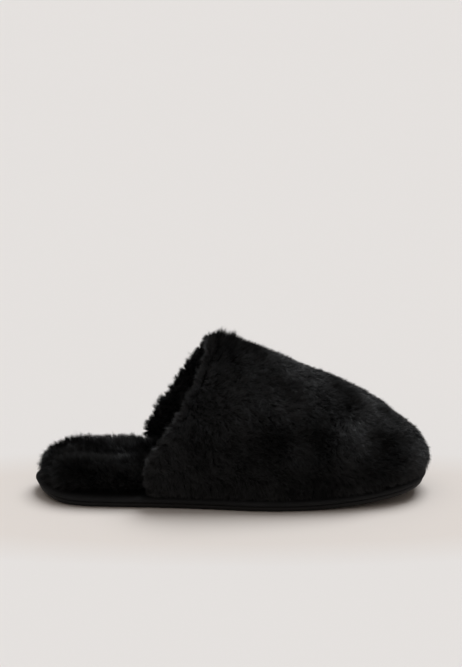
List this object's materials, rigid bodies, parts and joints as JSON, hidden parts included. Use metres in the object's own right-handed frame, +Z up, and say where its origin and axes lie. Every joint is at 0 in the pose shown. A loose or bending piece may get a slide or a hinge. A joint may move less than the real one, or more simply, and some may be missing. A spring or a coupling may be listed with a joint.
{
  "type": "scuff slipper",
  "caption": "Backless scuff slipper with a short-pile faux fur upper and footbed, a fabric-wrapped midsole and a thin grooved rubber outsole, right foot.",
  "frame": {"origin": "on the floor under the middle of the slipper's length and width", "axes": "+X towards the toe, +Z up, -Y towards the foot's outer side"},
  "size_m": [0.2586, 0.0938, 0.1055],
  "materials": {
    "outsole_rubber": "matt, lightly worn",
    "wrap_fabric": "matt woven wrap",
    "footbed_fur": "dense faux fur pile",
    "upper_fur": "short faux fur pile with a soft sheen"
  },
  "bodies": {
    "root": {"outsole": "outsole_rubber", "midsole": "wrap_fabric", "footbed": "footbed_fur", "upper": "upper_fur"}
  },
  "joints": []
}
